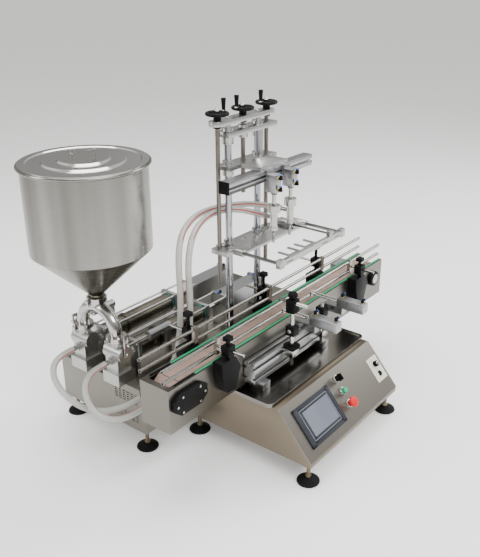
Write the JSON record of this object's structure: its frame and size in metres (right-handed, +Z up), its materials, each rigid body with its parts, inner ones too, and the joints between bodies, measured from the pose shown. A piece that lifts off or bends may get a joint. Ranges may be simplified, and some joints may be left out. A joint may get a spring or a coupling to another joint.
{
  "type": "piston liquid filler",
  "caption": "Two-head piston liquid filler on levelling feet: conical hopper, product cylinders, nozzle tower, slat conveyor and sloped operator console.",
  "frame": {"origin": "on the floor under the middle of the machine's footprint box", "axes": "+X along the conveyor in its running direction, +Y from the operator's console towards the pump side, +Z up"},
  "size_m": [1.4, 1.0268, 1.21],
  "materials": {
    "foot_rubber": "moulded pad with a zinc-plated stem",
    "brushed_cabinet": "brushed stainless sheet",
    "panel_steel": "brushed stainless sheet",
    "screen_bezel": "dark grey moulded bezel",
    "collar_metal": "bright button collars",
    "tray_steel": "brushed stainless pan",
    "conveyor_steel": "satin stainless sheet",
    "slat_plastic": "brown acetal slats",
    "green_plastic": "green wear strip",
    "black_moulding": "black glass-filled nylon",
    "motor_paint": "grey paint",
    "anodised_aluminium": "clear anodised",
    "milled_aluminium": "milled and anodised plate",
    "polished_steel": "polished stainless",
    "ground_steel": "ground and hard-chromed shaft",
    "screw_steel": "rolled trapezoidal thread",
    "hopper_steel": "spun satin stainless",
    "rail_steel": "thin stainless tube",
    "clear_hose": "clear reinforced hose with red stripes",
    "red_plastic": "red mushroom cap",
    "green_button": "green cap"
  },
  "bodies": {
    "root": {"levelling_feet": "foot_rubber", "console_cabinet": "brushed_cabinet", "control_panel": "panel_steel", "touch_screen": "screen_bezel", "panel_trim": "collar_metal", "console_tray": "tray_steel", "pump_cabinet": "brushed_cabinet", "conveyor_frame": "conveyor_steel", "slat_chain": "slat_plastic", "edge_strips": "green_plastic", "bearing_covers": "black_moulding", "belt_gearmotor": "motor_paint", "guide_brackets": "black_moulding", "beam_extrusion": "anodised_aluminium", "stop_stand": "polished_steel", "stop_cylinders": "anodised_aluminium", "tower_shafts": "ground_steel", "tower_plates": "milled_aluminium", "hopper": "hopper_steel", "hopper_manifold": "polished_steel", "pipe_clamps": "polished_steel", "valve_bodies": "polished_steel", "product_cylinders": "hopper_steel", "cylinder_plates": "milled_aluminium", "air_cylinders": "anodised_aluminium", "hose_front": "clear_hose", "hose_rear": "clear_hose"},
    "hopper_lid": {"hopper_lid": "hopper_steel"},
    "left_wheel": {"handwheel_left": "black_moulding", "lead_screw_left": "screw_steel"},
    "middle_wheel": {"handwheel_middle": "black_moulding", "lead_screw_middle": "screw_steel"},
    "right_wheel": {"handwheel_right": "black_moulding", "lead_screw_right": "screw_steel"},
    "bridge": {"bridge_plate": "milled_aluminium", "lift_cylinder": "anodised_aluminium"},
    "carriage": {"nozzle_carriage": "milled_aluminium", "nozzle_bar": "anodised_aluminium", "nozzle_cylinders": "anodised_aluminium", "nozzle_bodies": "polished_steel"},
    "plungers": {"nozzle_plungers": "polished_steel"},
    "locator": {"locator_plate": "milled_aluminium"},
    "locator_slide": {"locator_slide": "milled_aluminium"},
    "piston_front": {"piston_front": "polished_steel"},
    "piston_rear": {"piston_rear": "polished_steel"},
    "lever_front": {"valve_lever_front": "polished_steel"},
    "lever_rear": {"valve_lever_rear": "polished_steel"},
    "valve_yokes": {"valve_yokes": "polished_steel"},
    "drive_shaft": {"drive_sprocket": "black_moulding"},
    "idler_shaft": {"idler_sprocket": "black_moulding"},
    "stop_left": {"stop_rod_left": "ground_steel"},
    "stop_right": {"stop_rod_right": "ground_steel"},
    "front_guide": {"guide_rails_front": "rail_steel"},
    "rear_guide": {"guide_rails_rear": "rail_steel"},
    "estop_button": {"estop_button": "red_plastic"},
    "start_button": {"start_button": "green_button"},
    "mode_selector": {"mode_selector": "black_moulding"},
    "speed_knob": {"speed_knob": "black_moulding"},
    "power_switch": {"power_switch": "black_moulding"}
  },
  "joints": [
    {"name": "lid_lift", "type": "slide", "parent": "root", "child": "hopper_lid", "axis": [0, 0, 1], "range_m": [0, 0.1]},
    {"name": "middle_wheel_turn", "type": "hinge", "parent": "root", "child": "middle_wheel", "pos_m": [-0.015, 0.0025, 1.15], "axis": [0, 0, -1], "range_deg": [-6751, 721]},
    {"name": "bridge_lift", "type": "slide", "parent": "root", "child": "bridge", "axis": [0, 0, 1], "range_m": [-0.075, 0.008], "deforming": ["hose_front", "hose_rear"]},
    {"name": "nozzle_dive", "type": "slide", "parent": "bridge", "child": "carriage", "axis": [0, 0, 1], "range_m": [-0.05, 0], "deforming": ["hose_front", "hose_rear"]},
    {"name": "nozzle_open", "type": "slide", "parent": "carriage", "child": "plungers", "axis": [0, 0, -1], "range_m": [0, 0.008], "stiffness_N_per_m": 600, "springref_m": -0.004},
    {"name": "left_wheel_turn", "type": "hinge", "parent": "root", "child": "left_wheel", "pos_m": [-0.149, 0.0025, 1.15], "axis": [0, 0, -1], "range_deg": [-3601, 5401]},
    {"name": "right_wheel_turn", "type": "hinge", "parent": "root", "child": "right_wheel", "pos_m": [0.119, 0.0025, 1.15], "axis": [0, 0, -1], "range_deg": [-3601, 5401]},
    {"name": "locator_lift", "type": "slide", "parent": "root", "child": "locator", "axis": [0, 0, 1], "range_m": [-0.04, 0.06]},
    {"name": "locator_extend", "type": "slide", "parent": "locator", "child": "locator_slide", "axis": [0, 1, 0], "range_m": [0, 0.04]},
    {"name": "piston_front_stroke", "type": "slide", "parent": "root", "child": "piston_front", "axis": [1, 0, 0], "range_m": [0, 0.15]},
    {"name": "piston_rear_stroke", "type": "slide", "parent": "root", "child": "piston_rear", "axis": [1, 0, 0], "range_m": [0, 0.15]},
    {"name": "valve_stroke", "type": "slide", "parent": "root", "child": "valve_yokes", "axis": [1, 0, 0], "range_m": [-0.0424, 0.0424]},
    {"name": "lever_front_turn", "type": "hinge", "parent": "root", "child": "lever_front", "pos_m": [-0.485, 0.1925, 0.369], "axis": [0, 1, 0], "range_deg": [-45, 45]},
    {"name": "lever_rear_turn", "type": "hinge", "parent": "root", "child": "lever_rear", "pos_m": [-0.485, 0.3625, 0.369], "axis": [0, 1, 0], "range_deg": [-45, 45]},
    {"name": "drive_turn", "type": "hinge", "parent": "root", "child": "drive_shaft", "pos_m": [0.617, -0.1365, 0.369], "axis": [0, 1, 0], "continuous": true},
    {"name": "idler_turn", "type": "hinge", "parent": "root", "child": "idler_shaft", "pos_m": [-0.55, -0.1365, 0.369], "axis": [0, 1, 0], "continuous": true},
    {"name": "stop_left_stroke", "type": "slide", "parent": "root", "child": "stop_left", "axis": [0, 1, 0], "range_m": [0, 0.04]},
    {"name": "stop_right_stroke", "type": "slide", "parent": "root", "child": "stop_right", "axis": [0, 1, 0], "range_m": [0, 0.04]},
    {"name": "front_guide_adjust", "type": "slide", "parent": "root", "child": "front_guide", "axis": [0, 1, 0], "range_m": [-0.015, 0.02]},
    {"name": "rear_guide_adjust", "type": "slide", "parent": "root", "child": "rear_guide", "axis": [0, 1, 0], "range_m": [-0.025, 0.005]},
    {"name": "estop_push", "type": "slide", "parent": "root", "child": "estop_button", "axis": [0, 0.7535, -0.6575], "range_m": [0, 0.005], "stiffness_N_per_m": 800, "springref_m": -0.002},
    {"name": "start_push", "type": "slide", "parent": "root", "child": "start_button", "axis": [0, 0.7535, -0.6575], "range_m": [0, 0.005], "stiffness_N_per_m": 500, "springref_m": -0.002},
    {"name": "mode_turn", "type": "hinge", "parent": "root", "child": "mode_selector", "pos_m": [0.017, -0.38773, 0.22609], "axis": [0, -0.7535, 0.6575], "range_deg": [-45, 45]},
    {"name": "speed_turn", "type": "hinge", "parent": "root", "child": "speed_knob", "pos_m": [0.256, -0.41994, 0.18917], "axis": [0, -0.7535, 0.6575], "range_deg": [-135, 135]},
    {"name": "power_rock", "type": "hinge", "parent": "root", "child": "power_switch", "pos_m": [0.254, -0.44634, 0.16044], "axis": [1, 0, 0], "range_deg": [-12, 12]}
  ],
  "couplings": [
    {"joint": "middle_wheel_turn", "follows": "bridge_lift", "rad_per_m": 1570.8},
    {"joint": "left_wheel_turn", "follows": "locator_lift", "rad_per_m": 1570.8},
    {"joint": "right_wheel_turn", "follows": "locator_lift", "rad_per_m": 1570.8},
    {"joint": "lever_front_turn", "follows": "valve_stroke", "rad_per_m": 18.519},
    {"joint": "lever_rear_turn", "follows": "valve_stroke", "rad_per_m": 18.519},
    {"joint": "idler_turn", "follows": "drive_turn", "ratio": 1}
  ]
}
